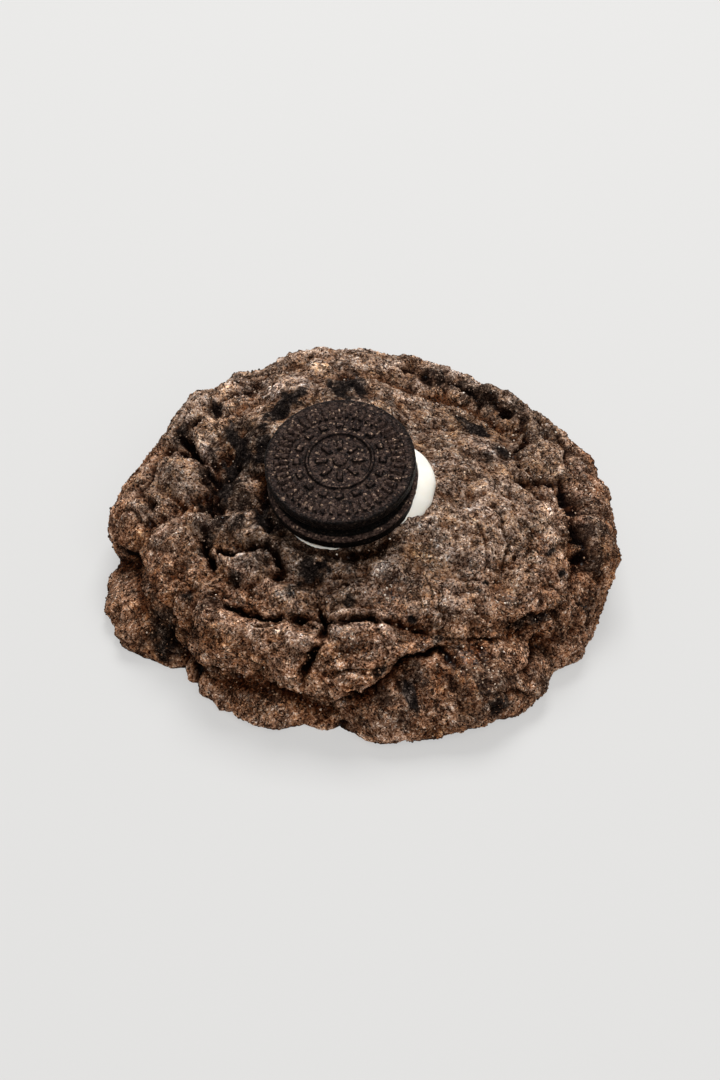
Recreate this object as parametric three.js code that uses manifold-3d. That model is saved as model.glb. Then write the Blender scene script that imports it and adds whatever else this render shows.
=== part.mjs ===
// A thick, soft-baked chocolate cookie. A small chocolate sandwich biscuit lies tilted
// on a dab of white cream on its top.
// Millimetres, +Z up, the front towards -Y, the origin on the table under the middle.
import * as THREE from 'three';
import { mergeVertices } from 'three/addons/utils/BufferGeometryUtils.js';
import Module from 'manifold-3d';

const wasm = await Module();
wasm.setup();

// ---- driving dimensions
const COOKIE_RADIUS = 50; // from the middle of the dough to its rim
const COOKIE_HEIGHT = 31; // of the dough at its crown
const BISCUIT_RADIUS = 14.25;
const WAFER_THICKNESS = 2.9;
const FILLING_THICKNESS = 1.2;
const FILLING_RADIUS = 12.6;
const BISCUIT_PLACE = new THREE.Vector3(-4.0, -7.0, 32.8); // its middle
const BISCUIT_TILT = 16.5; // degrees down towards the front
const BISCUIT_LEAN = -3; // degrees down towards the left
const LOWER_WAFER_SLIP = new THREE.Vector3(0.2, -0.9, 0); // how far it has slid to the front
const STAMP_DEPTH = 0.5; // relief of the pattern on the upper wafer
const GAP = 0.3; // between two pieces that touch
const DOUGH_STEP = 1.85; // side of a triangle on the dough

const radians = THREE.MathUtils.degToRad;

// ---- dough: lumps that were pressed together and swelled in the oven
// A lump stands at a bearing in degrees (0 right, 90 back). Out and up are its middle's place,
// long, deep and tall its half sizes along the rim, across the rim and upwards. Out, long and
// deep are shares of the cookie's radius, up and tall of its height.
function lump(bearing, out, up, long, deep, tall, turn = bearing) {
  const at = radians(bearing);
  return {
    x: Math.cos(at) * out * COOKIE_RADIUS,
    y: Math.sin(at) * out * COOKIE_RADIUS,
    z: up * COOKIE_HEIGHT,
    deep: deep * COOKIE_RADIUS,
    long: long * COOKIE_RADIUS,
    tall: tall * COOKIE_HEIGHT,
    cos: Math.cos(radians(turn)),
    sin: Math.sin(radians(turn)),
  };
}

const LUMPS = {
  core: lump(90, 0.02, 0.29, 0.88, 0.88, 0.47),
  plateau: lump(-6, 0.18, 0.29, 0.64, 0.67, 0.65),
  plateauBack: lump(52, 0.45, 0.45, 0.42, 0.26, 0.37),
  plateauCorner: lump(4, 0.55, 0.42, 0.22, 0.2, 0.33),
  crest: lump(106, 0.36, 0.52, 0.46, 0.36, 0.47),
  brow: lump(-113, 0.3, 0.45, 0.36, 0.26, 0.39, -90),
  backMiddle: lump(91, 0.651, 0.55, 0.46, 0.212, 0.416),
  backRight: lump(56, 0.735, 0.43, 0.54, 0.15, 0.36),
  backLeft: lump(134, 0.708, 0.465, 0.396, 0.225, 0.374),
  backSlope: lump(124, 0.54, 0.5, 0.34, 0.22, 0.39),
  rimSlope: lump(110, 0.57, 0.52, 0.34, 0.17, 0.44),
  rightShoulder: lump(18, 0.71, 0.45, 0.26, 0.18, 0.32),
  rightOuterBack: lump(24, 0.83, 0.333, 0.295, 0.186, 0.292),
  rightOuter: lump(1, 0.823, 0.309, 0.317, 0.19, 0.314),
  rightFrontSlope: lump(-32, 0.64, 0.35, 0.24, 0.26, 0.34),
  frontSlope: lump(-60, 0.6, 0.38, 0.34, 0.18, 0.31),
  leftKnob: lump(167, 0.7, 0.51, 0.135, 0.135, 0.25),
  leftOuter: lump(164, 0.79, 0.292, 0.366, 0.193, 0.345),
  leftOuterFront: lump(-166, 0.74, 0.33, 0.24, 0.13, 0.26),
  leftInner: lump(-168, 0.6, 0.5, 0.13, 0.1, 0.2),
  leftFront: lump(-146, 0.72, 0.32, 0.17, 0.13, 0.26),
  tongue: lump(-154, 0.45, 0.62, 0.14, 0.08, 0.17),
  innerHeel: lump(-139, 0.57, 0.55, 0.1, 0.14, 0.17, -20),
  innerToe: lump(-119, 0.6, 0.48, 0.18, 0.11, 0.18),
  foldLeft: lump(-122, 0.73, 0.34, 0.3, 0.18, 0.28),
  foldRight: lump(-90, 0.7, 0.34, 0.25, 0.19, 0.29),
  baseLeft: lump(-165, 0.755, 0.019, 0.332, 0.277, 0.306),
  baseFrontLeft: lump(-118, 0.638, 0.025, 0.361, 0.304, 0.219),
  baseFrontMiddle: lump(-97, 0.539, 0.006, 0.293, 0.35, 0.232),
  baseFront: lump(-64, 0.732, 0.11, 0.43, 0.299, 0.369),
  baseRightFront: lump(-23, 0.819, 0.138, 0.328, 0.155, 0.306),
  baseRight: lump(0, 0.6, 0, 0.5, 0.36, 0.23),
  baseBack: lump(90, 0.3, 0, 0.8, 0.53, 0.23),
};
const SEAM_SHARPNESS = 3; // per mm: how abruptly one lump ends at the next

// Creases run over the dough through [bearing, share of the way from crown to foot].
const CREASES = [
  { // along the tops of the front folds
    width: 1.6, depth: 2.4,
    through: [[-138, 0.684], [-134, 0.642], [-130, 0.617], [-124, 0.625], [-113, 0.58],
      [-107, 0.556], [-101, 0.575], [-90, 0.54], [-85, 0.57], [-75, 0.57], [-68, 0.67]],
  },
  { // between the two front folds
    width: 1.5, depth: 2.4,
    through: [[-108, 0.488], [-101, 0.578], [-101, 0.662], [-105, 0.768], [-106, 0.85]],
  },
  { // round the heel lump
    width: 1.6, depth: 2,
    through: [[-142, 0.566], [-137, 0.558], [-132, 0.533], [-127, 0.488], [-125, 0.408]],
  },
  { width: 1.6, depth: 1.8, through: [[-157, 0.528], [-148, 0.489], [-144, 0.419], [-138, 0.375]] },
  { // up the end of the right fold
    width: 1.6, depth: 2.4,
    through: [[-92, 0.862], [-88, 0.842], [-85, 0.812], [-78, 0.735], [-68, 0.71], [-66, 0.8]],
  },
  { width: 1.4, depth: 1.8, through: [[-67, 0.67], [-59, 0.71], [-51, 0.77]] },
  { width: 1.4, depth: 1.5, through: [[-53, 0.845], [-46, 0.865], [-38, 0.87]] },
  { width: 1.4, depth: 1.3, through: [[-61, 0.865], [-56, 0.89], [-50, 0.93]] },
  { width: 1.9, depth: 2.2, through: [[-45, 0.78], [-42, 0.73], [-35, 0.78]] },
  { // between the plateau and the right rim
    width: 1.6, depth: 2.2,
    through: [[-1, 0.46], [4, 0.496], [8, 0.566], [7, 0.615], [0, 0.668], [-8, 0.68],
      [-15, 0.755], [-20, 0.79]],
  },
  { // outside the right shoulder
    width: 1.4, depth: 1.5,
    through: [[31, 0.6], [26, 0.66], [22, 0.7], [12, 0.66], [3, 0.697]],
  },
  { width: 1.4, depth: 1.6, through: [[29, 0.58], [24, 0.523], [16, 0.44], [12, 0.393]] },
  { // behind the plateau
    width: 1.6, depth: 2.2,
    through: [[80, 0.47], [69, 0.492], [59, 0.553], [46, 0.545], [39, 0.578], [29, 0.585]],
  },
  { width: 1.5, depth: 2, through: [[84, 0.62], [83, 0.555], [80, 0.49]] },
  { // over the knob on the left
    width: 1.4, depth: 1.6,
    through: [[-178, 0.68], [170, 0.69], [163, 0.7], [157, 0.69], [158, 0.6], [161, 0.54]],
  },
  { // down the hollow on the left
    width: 1.5, depth: 2,
    through: [[153, 0.64], [156, 0.565], [163, 0.518], [165, 0.493], [-178, 0.481], [-165, 0.486],
      [-158, 0.545], [-142, 0.566], [-136, 0.6], [-134, 0.642]],
  },
  { width: 1.4, depth: 1.3, through: [[125, 0.565], [130, 0.545], [140, 0.565], [152, 0.6]] },
  { width: 1.4, depth: 1.3, through: [[114, 0.53], [111, 0.5], [110, 0.47]] },
  { width: 1.4, depth: 1.2, through: [[-52, 0.52], [-50, 0.575]] },
  { // under the lip that hangs over the base
    width: 1.7, depth: 2.8,
    through: [[-178, 0.82], [-173, 0.83], [-165, 0.8], [-157, 0.78], [-150, 0.81], [-137, 0.865],
      [-119, 0.875], [-104, 0.89], [-92, 0.862]],
  },
  { width: 1.4, depth: 1.8, through: [[-122, 0.84], [-116, 0.86], [-107, 0.83]] },
  { width: 1.4, depth: 2.2, through: [[-140, 0.92], [-137, 0.96], [-136, 1]] },
];

// A smooth cushion lies inside the dough. Its top is a rounded square and its side an upright
// wall down to the table.
const CUSHION = {
  girth: 0.94 * COOKIE_RADIUS,
  crown: 0.95 * COOKIE_HEIGHT,
  waist: 0.3 * COOKIE_HEIGHT,
  power: 0.8, // 1 is an ellipse
  root: 0.24 * COOKIE_RADIUS, // the dough is measured from this far inside
  samples: 700,
};

// The cushion's outline with its length so far, from the crown to the foot.
const outline = Array.from({ length: CUSHION.samples }, (_, i) => {
  const turn = (Math.PI / 2) * (i / (CUSHION.samples - 1));
  return {
    radius: CUSHION.girth * Math.sin(turn) ** CUSHION.power,
    height: CUSHION.waist + (CUSHION.crown - CUSHION.waist) * Math.cos(turn) ** CUSHION.power,
  };
});
outline.push({ radius: CUSHION.girth, height: 0 });
outline.forEach((point, i) => {
  const before = outline[i - 1];
  point.length = before
    ? before.length + Math.hypot(point.radius - before.radius, point.height - before.height)
    : 0;
});
const OUTLINE_LENGTH = outline[outline.length - 1].length;

function outlineAt(length) {
  const last = outline.length - 2;
  let low = 0;
  let high = last;
  while (low < high) {
    const middle = (low + high + 1) >> 1;
    if (outline[middle].length <= length) low = middle;
    else high = middle - 1;
  }
  const a = outline[low];
  const b = outline[low + 1];
  const t = (length - a.length) / (b.length - a.length);
  return {
    radius: a.radius + (b.radius - a.radius) * t,
    height: a.height + (b.height - a.height) * t,
  };
}

// A place on the cushion and the direction straight out of it.
const NORMAL_REACH = 1.5;
function cushionAt(bearing, share) {
  const length = share * OUTLINE_LENGTH;
  const here = outlineAt(length);
  const above = outlineAt(Math.max(length - NORMAL_REACH, 0));
  const below = outlineAt(Math.min(length + NORMAL_REACH, OUTLINE_LENGTH));
  const out = below.radius - above.radius;
  const up = share === 0 ? 0 : below.height - above.height;
  const size = Math.hypot(out, up);
  const cos = Math.cos(bearing);
  const sin = Math.sin(bearing);
  return {
    place: new THREE.Vector3(here.radius * cos, here.radius * sin, here.height),
    normal: new THREE.Vector3((-up / size) * cos, (-up / size) * sin, out / size),
  };
}

// A value from -1 to 1 for each point of a grid of whole numbers.
function scatter(x, y, z, seed) {
  let h = (Math.imul(x, 374761393) + Math.imul(y, 668265263)
    + Math.imul(z, 2147483647) + Math.imul(seed, 974634777)) >>> 0;
  h = Math.imul(h ^ (h >>> 13), 1274126177) >>> 0;
  h = Math.imul(h ^ (h >>> 16), 2246822519) >>> 0;
  h = (h ^ (h >>> 13)) >>> 0;
  return h / 2147483647.5 - 1;
}

const ease = (t) => t * t * t * (t * (t * 6 - 15) + 10);

// Smooth unevenness from -1 to 1, whose bumps are about `size` across.
function unevenness(p, size, seed) {
  const [x, y, z] = [p.x / size, p.y / size, p.z / size];
  const [bx, by, bz] = [Math.floor(x), Math.floor(y), Math.floor(z)];
  const [ex, ey, ez] = [ease(x - bx), ease(y - by), ease(z - bz)];
  let sum = 0;
  for (const i of [0, 1]) for (const j of [0, 1]) for (const k of [0, 1]) {
    const weight = (i ? ex : 1 - ex) * (j ? ey : 1 - ey) * (k ? ez : 1 - ez);
    sum += weight * scatter(bx + i, by + j, bz + k, seed);
  }
  return sum;
}

const wander = (p, size, seed, reach) => new THREE.Vector3(
  unevenness(p, size, seed) * reach,
  unevenness(p, size, seed + 1) * reach,
  unevenness(p, size, seed + 2) * reach,
);

// How far out the lumps reach from a point inside them.
function lumpsReach(from, along) {
  const reaches = Object.values(LUMPS).map((l) => {
    const dx = from.x - l.x;
    const dy = from.y - l.y;
    const px = (l.cos * dx + l.sin * dy) / l.deep;
    const py = (-l.sin * dx + l.cos * dy) / l.long;
    const pz = (from.z - l.z) / l.tall;
    const vx = (l.cos * along.x + l.sin * along.y) / l.deep;
    const vy = (-l.sin * along.x + l.cos * along.y) / l.long;
    const vz = along.z / l.tall;
    const a = vx * vx + vy * vy + vz * vz;
    const b = px * vx + py * vy + pz * vz;
    const c = px * px + py * py + pz * pz - 1;
    const inside = b * b - a * c;
    return inside > 0 ? Math.max((-b + Math.sqrt(inside)) / a, 0) : 0;
  });
  const most = Math.max(...reaches);
  const sum = reaches.reduce((s, r) => s + Math.exp((r - most) * SEAM_SHARPNESS), 0);
  return most + Math.log(sum) / SEAM_SHARPNESS;
}

// Each crease as short straight lines over the cushion.
const CREASE_STEPS = 4;
for (const crease of CREASES) {
  crease.lines = [];
  for (let i = 1; i < crease.through.length; i++) {
    const [b0, s0] = crease.through[i - 1];
    const [b1, s1] = crease.through[i];
    const turn = ((b1 - b0 + 540) % 360) - 180;
    const at = (t) => cushionAt(radians(b0 + turn * t), s0 + (s1 - s0) * t).place;
    for (let k = 0; k < CREASE_STEPS; k++) {
      crease.lines.push(new THREE.Line3(at(k / CREASE_STEPS), at((k + 1) / CREASE_STEPS)));
    }
  }
}

const nearest = new THREE.Vector3();
function creaseDepth(p) {
  let depth = 0;
  for (const crease of CREASES) {
    let distance = Infinity;
    for (const line of crease.lines) {
      line.closestPointToPoint(p, true, nearest);
      distance = Math.min(distance, nearest.distanceTo(p));
    }
    depth = Math.max(depth, crease.depth * Math.exp(-((distance / crease.width) ** 2)));
  }
  return depth;
}

// The dough's surface at a bearing and a share of the way from the crown to the foot.
const SEAM_WANDER = { size: 11, reach: 1.6, seed: 11 };
const SEAM_WOBBLE = { size: 4, reach: 0.8, seed: 21 };
const CREASE_WANDER = { size: 5, reach: 1, seed: 41 };
const RIDGES = { size: 8, height: 0.45, seed: 31 };
const BUMPS = { size: 4, height: 0.22, seed: 32 };
const PLATEAU_CALM = 0.55; // share of the ridges' height left on the plateau
const FOOT_TUCK = 1; // how far the dough draws in where it meets the table
const FOOT_ROUND = 2.5; // height over which it does so

function doughAt(bearing, share) {
  const { place, normal } = cushionAt(bearing, share);
  const broad = wander(place, SEAM_WANDER.size, SEAM_WANDER.seed, SEAM_WANDER.reach);
  const shifted = wander(place, SEAM_WOBBLE.size, SEAM_WOBBLE.seed, SEAM_WOBBLE.reach).add(broad);
  const root = place.clone().addScaledVector(normal, -CUSHION.root);
  const reach = lumpsReach(root.clone().add(shifted), normal);
  const calm = PLATEAU_CALM
    + (1 - PLATEAU_CALM) * THREE.MathUtils.clamp((share - 0.3) / 0.2, 0, 1);
  const ridge = Math.abs(unevenness(place.clone().add(shifted), RIDGES.size, RIDGES.seed));
  const bump = unevenness(place.clone().add(broad), BUMPS.size, BUMPS.seed);
  const relief = RIDGES.height * calm * (0.55 - 1.6 * ridge) + BUMPS.height * bump;
  const crossing = wander(place, CREASE_WANDER.size, CREASE_WANDER.seed, CREASE_WANDER.reach);
  const cut = creaseDepth(place.clone().add(crossing));
  const point = root.clone().addScaledVector(normal, reach + relief - cut);
  const tuck = FOOT_TUCK * THREE.MathUtils.clamp(1 - point.z / FOOT_ROUND, 0, 1) ** 2;
  return point.addScaledVector(normal, -tuck);
}

// A closed skin over rings of points. The first and last rings are one point each.
function skin(rings) {
  const points = rings.flat();
  const index = [];
  let start = 0;
  for (let k = 1; k < rings.length; k++) {
    const n = rings[k - 1].length;
    const m = rings[k].length;
    const a = (i) => start + (i % n);
    const b = (j) => start + n + (j % m);
    let i = n === 1 ? 1 : 0;
    let j = m === 1 ? 1 : 0;
    while (i < n || j < m) {
      const along = j < m && (i >= n || (j + 0.5) / m <= (i + 0.5) / n);
      if (along) index.push(a(i), b(j), b(++j));
      else index.push(a(i), b(j), a(++i));
    }
    start += n;
  }
  const geometry = new THREE.BufferGeometry().setFromPoints(points);
  geometry.setIndex(index);
  return geometry;
}

const around = (count, point) => Array.from(
  { length: count },
  (_, i) => point((i / count) * 2 * Math.PI),
);

function doughSkin() {
  const steps = Math.round(OUTLINE_LENGTH / DOUGH_STEP);
  const rings = [[doughAt(0, 0)]];
  for (let k = 1; k <= steps; k++) {
    const share = k / steps;
    const girth = 2 * Math.PI * outlineAt(share * OUTLINE_LENGTH).radius;
    const count = Math.max(6, Math.round(girth / DOUGH_STEP));
    rings.push(around(count, (bearing) => doughAt(bearing, share)));
  }
  const foot = rings[rings.length - 1];
  for (const share of [0.75, 0.5, 0.25]) {
    const count = Math.round(foot.length * share * 0.6);
    rings.push(around(count, (bearing) => {
      const edge = foot[Math.round((bearing / (2 * Math.PI)) * foot.length) % foot.length];
      return edge.clone().multiplyScalar(share);
    }));
  }
  rings.push([new THREE.Vector3(0, 0, 0)]);
  return skin(rings);
}

// ---- sandwich biscuit: two stamped wafers on a thin round of cream
// A disc by its rings, from the middle of its top round to the middle of its bottom.
function disc(profile) {
  return skin(profile.map(({ radius, count = 1, height }) => around(count, (bearing) => (
    new THREE.Vector3(
      radius * Math.cos(bearing),
      radius * Math.sin(bearing),
      typeof height === 'function' ? height(bearing) : height,
    )
  ))));
}

const RIM_RIDGES = 48;
const DOTS = 16;
const PETALS = 8;
const EDGE_ROUND = 0.45;

function plainWafer(count) {
  const half = WAFER_THICKNESS / 2;
  const inner = BISCUIT_RADIUS - EDGE_ROUND;
  return disc([
    { radius: 0, height: half },
    { radius: inner / 2, count: count / 4, height: half },
    { radius: inner, count, height: half },
    { radius: BISCUIT_RADIUS, count, height: half - EDGE_ROUND },
    { radius: BISCUIT_RADIUS, count, height: EDGE_ROUND - half },
    { radius: inner, count, height: -half },
    { radius: inner / 2, count: count / 4, height: -half },
    { radius: 0, height: -half },
  ]);
}

// The upper wafer's pattern: a dot, a flower of petals, a plain ring, a ring of dots
// and short ridges round the rim.
function stampedWafer() {
  const half = WAFER_THICKNESS / 2;
  const field = half - STAMP_DEPTH;
  const raised = (count) => (bearing) => (
    field + STAMP_DEPTH * (Math.cos(count * bearing) > 0 ? 1 : 0)
  );
  const fine = 2 * RIM_RIDGES;
  const coarse = 4 * DOTS;
  return disc([
    { radius: 0, height: half },
    { radius: 1.1, count: PETALS * 2, height: half },
    { radius: 1.5, count: PETALS * 2, height: field },
    { radius: 2, count: PETALS * 4, height: field },
    { radius: 2.6, count: PETALS * 4, height: raised(PETALS) },
    { radius: 4.4, count: PETALS * 4, height: raised(PETALS) },
    { radius: 5, count: PETALS * 4, height: field },
    { radius: 5.8, count: coarse, height: field },
    { radius: 6.2, count: coarse, height: half },
    { radius: 6.8, count: coarse, height: field },
    { radius: 7.6, count: coarse, height: raised(DOTS) },
    { radius: 8.6, count: coarse, height: raised(DOTS) },
    { radius: 9.2, count: fine, height: field },
    { radius: 9.8, count: fine, height: raised(RIM_RIDGES) },
    { radius: 12.2, count: fine, height: raised(RIM_RIDGES) },
    { radius: 12.9, count: fine, height: field },
    { radius: BISCUIT_RADIUS - EDGE_ROUND, count: fine, height: field },
    { radius: BISCUIT_RADIUS, count: fine, height: field - EDGE_ROUND },
    { radius: BISCUIT_RADIUS, count: coarse, height: -half },
    { radius: BISCUIT_RADIUS / 2, count: coarse / 4, height: -half },
    { radius: 0, height: -half },
  ]);
}

const fillingDisc = new THREE.CylinderGeometry(
  FILLING_RADIUS, FILLING_RADIUS, FILLING_THICKNESS, 64,
).rotateX(Math.PI / 2);

const WAFER_OFFSET = (FILLING_THICKNESS + WAFER_THICKNESS) / 2 + GAP;
const BISCUIT_BOTTOM = -WAFER_OFFSET - WAFER_THICKNESS / 2;

// ---- cream dollop: blobs under the biscuit, in the biscuit's own directions
const DOLLOP_BLOBS = [
  { name: 'squeezed out on the right', x: 8.8, y: -0.6, radiusX: 9, radiusY: 9.8, half: 4.3 },
  { name: 'under the middle and the back', x: 0, y: 3, radiusX: 9.5, radiusY: 9.5, half: 4 },
  { name: 'smear at the front left', x: -1.2, y: -5.5, radiusX: 9.6, radiusY: 9.6, half: 0.7 },
];
const DOLLOP_DEPTH = 1; // of the blobs' middles under the biscuit

function blob({ x, y, radiusX, radiusY, half }, grow, sides) {
  return new THREE.SphereGeometry(1, sides, sides / 2)
    .rotateX(Math.PI / 2)
    .scale(radiusX + grow, radiusY + grow, half + grow)
    .translate(x, y, BISCUIT_BOTTOM - DOLLOP_DEPTH);
}

// ---- joining and cutting
function solid(geometry) {
  const bare = new THREE.BufferGeometry();
  bare.setAttribute('position', geometry.getAttribute('position').clone());
  if (geometry.index) bare.setIndex(geometry.index);
  const merged = mergeVertices(bare, 1e-4);
  return new wasm.Manifold(new wasm.Mesh({
    numProp: 3,
    vertProperties: new Float32Array(merged.getAttribute('position').array),
    triVerts: new Uint32Array(merged.index.array),
  }));
}

function geometryOf(manifold) {
  const { vertProperties, triVerts } = manifold.getMesh();
  const geometry = new THREE.BufferGeometry();
  geometry.setAttribute('position', new THREE.BufferAttribute(vertProperties, 3));
  geometry.setIndex(new THREE.BufferAttribute(triVerts, 1));
  return geometry;
}

// The room that the biscuit and the cream press into the dough.
const biscuitMatrix = new THREE.Matrix4().compose(
  BISCUIT_PLACE,
  new THREE.Quaternion().setFromEuler(
    new THREE.Euler(radians(BISCUIT_TILT), radians(BISCUIT_LEAN), 0),
  ),
  new THREE.Vector3(1, 1, 1),
);
const waferRoom = new THREE.CylinderGeometry(
  BISCUIT_RADIUS + GAP, BISCUIT_RADIUS + GAP, 2 * (GAP - BISCUIT_BOTTOM), 64,
).rotateX(Math.PI / 2);
const biscuitRoom = solid(waferRoom)
  .add(solid(waferRoom.clone().translate(...LOWER_WAFER_SLIP.toArray())));

const blobs = (grow, sides) => DOLLOP_BLOBS
  .map((one) => solid(blob(one, grow, sides)))
  .reduce((all, one) => all.add(one));
const dollop = blobs(0, 28).subtract(biscuitRoom);
const pressedIn = blobs(GAP, 24).add(biscuitRoom).transform(biscuitMatrix.elements);
const dough = solid(doughSkin()).subtract(pressedIn);

// ---- assembly
function material(name, color, roughness) {
  const made = new THREE.MeshStandardMaterial({ color, roughness, metalness: 0 });
  made.name = name;
  return made;
}
const doughMaterial = material('baked dough', '#4a3628', 0.85);
const waferMaterial = material('black cocoa wafer', '#241c18', 0.75);
const creamMaterial = material('cream', '#f4efe4', 0.45);

function mesh(name, geometry, finish, height = 0, slip = new THREE.Vector3()) {
  const made = new THREE.Mesh(geometry, finish);
  made.name = name;
  made.position.set(slip.x, slip.y, height);
  return made;
}

const biscuit = new THREE.Group();
biscuit.applyMatrix4(biscuitMatrix);
biscuit.add(
  mesh('wafer_top', stampedWafer(), waferMaterial, WAFER_OFFSET),
  mesh('cream_filling', fillingDisc, creamMaterial),
  mesh('wafer_bottom', plainWafer(64), waferMaterial, -WAFER_OFFSET, LOWER_WAFER_SLIP),
  mesh('cream_dollop', geometryOf(dollop), creamMaterial),
);

const pieces = new THREE.Group();
pieces.add(mesh('cookie_body', geometryOf(dough), doughMaterial), biscuit);

// The origin goes on the table, under the middle of the cookie's box.
const box = new THREE.Box3().setFromObject(pieces, true);
const middle = box.getCenter(new THREE.Vector3());
pieces.position.set(-middle.x, -middle.y, -box.min.z);

const cookie = new THREE.Group();
cookie.add(pieces);

export default cookie;
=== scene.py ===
import itertools
from math import cos, pi, radians, sin

import bpy
import numpy as np
from mathutils import Euler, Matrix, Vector


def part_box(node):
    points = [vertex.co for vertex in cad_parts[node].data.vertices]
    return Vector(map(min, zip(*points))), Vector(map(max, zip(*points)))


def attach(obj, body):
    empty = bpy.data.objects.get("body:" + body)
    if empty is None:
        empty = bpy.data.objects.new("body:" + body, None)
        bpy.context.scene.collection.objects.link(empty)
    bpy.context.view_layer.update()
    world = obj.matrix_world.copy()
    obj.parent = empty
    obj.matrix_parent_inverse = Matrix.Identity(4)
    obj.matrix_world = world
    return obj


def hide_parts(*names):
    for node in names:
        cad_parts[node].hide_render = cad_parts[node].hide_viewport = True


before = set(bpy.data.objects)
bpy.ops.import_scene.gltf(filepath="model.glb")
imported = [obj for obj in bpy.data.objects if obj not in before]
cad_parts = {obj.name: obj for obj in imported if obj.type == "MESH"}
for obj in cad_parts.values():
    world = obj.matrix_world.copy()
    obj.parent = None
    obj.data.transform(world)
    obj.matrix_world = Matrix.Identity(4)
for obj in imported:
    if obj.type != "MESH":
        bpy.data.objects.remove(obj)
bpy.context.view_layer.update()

MM = 0.001

# ---- the thick cookie
# One piece of soft chocolate dough. It is pressed together by hand from lumps and swells in the
# oven, so that it cracks along the seams between them. Chunks of black biscuit and of chocolate
# are baked in flush with its surface.
COOKIE_RADIUS = 50.0  # this section works in millimetres round the dough's own middle
COOKIE_HEIGHT = 31.0
BISCUIT_RADIUS = 14.25
WAFER_THICKNESS = 2.9
FILLING_THICKNESS = 1.2
FILLING_RADIUS = 12.6
BISCUIT_PLACE = Vector((-4.0, -7.0, 32.8))
BISCUIT_TURN = Euler((radians(16.5), radians(-3), 0), "ZYX")
GAP = 0.3
WAFER_OFFSET = (FILLING_THICKNESS + WAFER_THICKNESS) / 2 + GAP
BISCUIT_BOTTOM = -WAFER_OFFSET - WAFER_THICKNESS / 2
LOWER_WAFER_SLIP = np.array([0.2, -0.9, 0])

# The frame's origin lies under the middle of the whole cookie's box, a little off the dough's.
filling_low, filling_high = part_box("cream_filling")
SHIFT = (filling_low + filling_high) / (2 * MM) - BISCUIT_PLACE

# Each lump: bearing in degrees (0 right, 90 back), its middle's way out and up, and half its size
# along the rim, across the rim and upwards, as shares of the cookie's radius and height. A last
# number turns it away from its bearing.
LUMPS = {
    "core": (90, 0.02, 0.29, 0.88, 0.88, 0.47),
    "plateau": (-6, 0.18, 0.29, 0.64, 0.67, 0.65),
    "plateau back": (52, 0.45, 0.45, 0.42, 0.26, 0.37),
    "plateau corner": (4, 0.55, 0.42, 0.22, 0.2, 0.33),
    "crest": (106, 0.36, 0.52, 0.46, 0.36, 0.47),
    "brow": (-113, 0.3, 0.45, 0.36, 0.26, 0.39, -90),
    "back middle": (91, 0.651, 0.55, 0.46, 0.212, 0.416),
    "back right": (56, 0.735, 0.43, 0.54, 0.15, 0.36),
    "back left": (134, 0.708, 0.465, 0.396, 0.225, 0.374),
    "back slope": (124, 0.54, 0.5, 0.34, 0.22, 0.39),
    "rim slope": (110, 0.57, 0.52, 0.34, 0.17, 0.44),
    "right shoulder": (18, 0.71, 0.45, 0.26, 0.18, 0.32),
    "right outer back": (24, 0.83, 0.333, 0.295, 0.186, 0.292),
    "right outer": (1, 0.823, 0.309, 0.317, 0.19, 0.314),
    "right front slope": (-32, 0.64, 0.35, 0.24, 0.26, 0.34),
    "front slope": (-60, 0.6, 0.38, 0.34, 0.18, 0.31),
    "left knob": (167, 0.7, 0.51, 0.135, 0.135, 0.25),
    "left outer": (164, 0.79, 0.292, 0.366, 0.193, 0.345),
    "left outer front": (-166, 0.74, 0.33, 0.24, 0.13, 0.26),
    "left inner": (-168, 0.6, 0.5, 0.13, 0.1, 0.2),
    "left front": (-146, 0.72, 0.32, 0.17, 0.13, 0.26),
    "tongue": (-154, 0.45, 0.62, 0.14, 0.08, 0.17),
    "inner heel": (-139, 0.57, 0.55, 0.1, 0.14, 0.17, -20),
    "inner toe": (-119, 0.6, 0.48, 0.18, 0.11, 0.18),
    "fold left": (-122, 0.73, 0.34, 0.3, 0.18, 0.28),
    "fold right": (-90, 0.7, 0.34, 0.25, 0.19, 0.29),
    "base left": (-165, 0.755, 0.019, 0.332, 0.277, 0.306),
    "base front left": (-118, 0.638, 0.025, 0.361, 0.304, 0.219),
    "base front middle": (-97, 0.539, 0.006, 0.293, 0.35, 0.232),
    "base front": (-64, 0.732, 0.11, 0.43, 0.299, 0.369),
    "base right front": (-23, 0.819, 0.138, 0.328, 0.155, 0.306),
    "base right": (0, 0.6, 0, 0.5, 0.36, 0.23),
    "base back": (90, 0.3, 0, 0.8, 0.53, 0.23),
}
SEAM_SHARPNESS = 3.5  # per mm

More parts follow.
